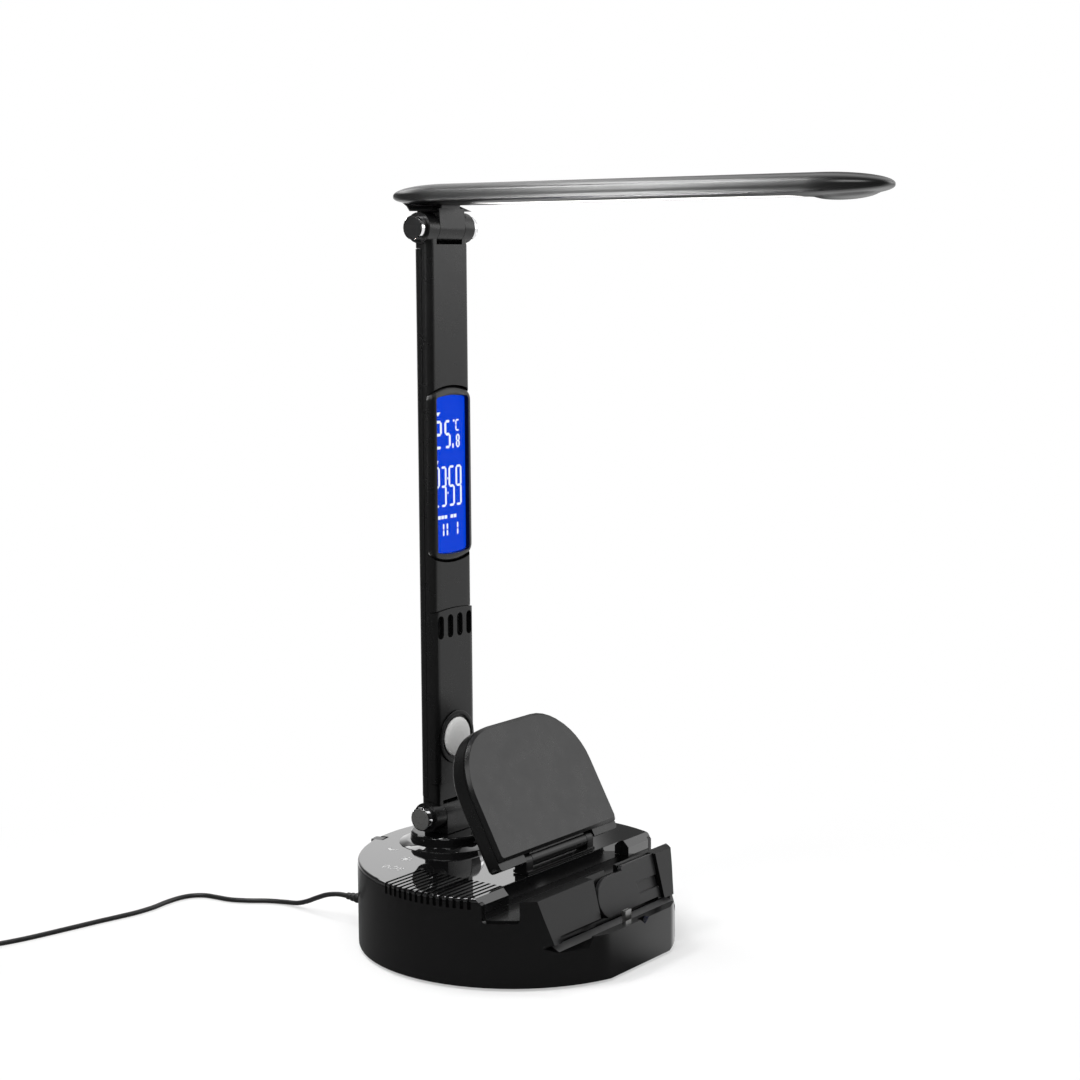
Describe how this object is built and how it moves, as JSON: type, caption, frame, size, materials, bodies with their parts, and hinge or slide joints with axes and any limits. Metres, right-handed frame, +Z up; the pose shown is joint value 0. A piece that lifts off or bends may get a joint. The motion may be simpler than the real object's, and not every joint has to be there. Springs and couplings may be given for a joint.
{
  "type": "led desk lamp",
  "caption": "Desk lamp with a long flat light head, slim stem with clock display, and round base with phone stand, dock, speaker and power cord.",
  "frame": {"origin": "centre of the round base on the desk, at the bottom of the rubber foot pad", "axes": "+Z up; -Y to the front, where the dock and the flat face are; +X to the right seen from the front"},
  "size_m": [0.3654, 0.4989, 0.4141],
  "materials": {
    "gloss_black": "glossy black moulded plastic",
    "satin_black": "satin black moulded plastic",
    "grey_black": "satin dark grey moulded plastic",
    "rubber_black": "matt rubber",
    "chrome": "polished",
    "satin_metal": "satin",
    "steel": "plain steel",
    "iron": "rough cast",
    "board_green": "circuit board",
    "display_blue": "lit blue display",
    "clear_lens": "clear",
    "diffuser_white": "lit translucent white plastic",
    "sensor_white": "satin light grey plastic",
    "copper": "copper winding",
    "cord_black": "flexible black sheath"
  },
  "bodies": {
    "base": {"base_pad": "rubber_black", "base_plate": "satin_black", "plate_screw_1": "steel", "plate_screw_2": "steel", "plate_screw_3": "steel", "ballast_ring": "iron", "main_board": "board_green", "base_housing": "satin_black", "top_cover": "gloss_black", "phone_tray": "satin_black", "dock_plate": "grey_black", "dock_connector": "satin_metal", "speaker": "satin_black", "power_inlet": "satin_black", "pad_bracket": "grey_black", "pad_hinge_pin": "steel", "strain_relief": "cord_black", "cord_stretch": "cord_black", "cord_coil": "cord_black", "cord_tie": "rubber_black", "usb_plug_body": "cord_black", "usb_plug_shell": "chrome"},
    "power_key": {"power_button": "gloss_black"},
    "charging_pad": {"pad_front_plate": "satin_black", "pad_back_shell": "grey_black", "charging_coil": "copper"},
    "swivel": {"turntable": "gloss_black", "turntable_nut": "steel", "hinge_knuckle": "grey_black"},
    "stem": {"stem_rear_shell": "satin_black", "stem_front_shell": "satin_black", "lower_hinge_pin": "steel", "lower_left_cap_ring": "chrome", "lower_left_cap_face": "satin_metal", "lower_right_cap_ring": "chrome", "lower_right_cap_face": "satin_metal", "upper_hinge_pin": "steel", "upper_left_cap_ring": "chrome", "upper_left_cap_face": "gloss_black", "upper_right_cap_ring": "chrome", "upper_right_cap_face": "gloss_black", "display_bezel": "gloss_black", "display_lens": "clear_lens", "clock_display": "display_blue", "clock_board": "board_green", "vent_panel": "satin_black", "sensor_ring": "grey_black", "motion_sensor": "sensor_white"},
    "head": {"head_top_shell": "satin_black", "head_bottom_shell": "satin_black", "light_diffuser": "diffuser_white", "light_board": "satin_metal", "head_nose": "satin_black", "head_neck": "satin_black"}
  },
  "joints": [
    {"name": "base_swivel", "type": "hinge", "parent": "base", "child": "swivel", "pos_m": [0, 0.048, 0.0487], "axis": [0, 0, 1], "range_deg": [-90, 90]},
    {"name": "stem_tilt", "type": "hinge", "parent": "swivel", "child": "stem", "pos_m": [0, 0.048, 0.06605], "axis": [1, 0, 0], "range_deg": [-35, 5]},
    {"name": "head_tilt", "type": "hinge", "parent": "stem", "child": "head", "pos_m": [0, 0.048, 0.3903], "axis": [1, 0, 0], "range_deg": [-45, 80]},
    {"name": "pad_tilt", "type": "hinge", "parent": "base", "child": "charging_pad", "pos_m": [0, -0.026, 0.0552], "axis": [1, 0, 0], "range_deg": [0, 15]},
    {"name": "power_button_press", "type": "slide", "parent": "base", "child": "power_key", "axis": [0.2079, -0.9781, 0], "range_m": [0, 0.001], "stiffness_N_per_m": 800, "springref_m": -0.0005}
  ]
}
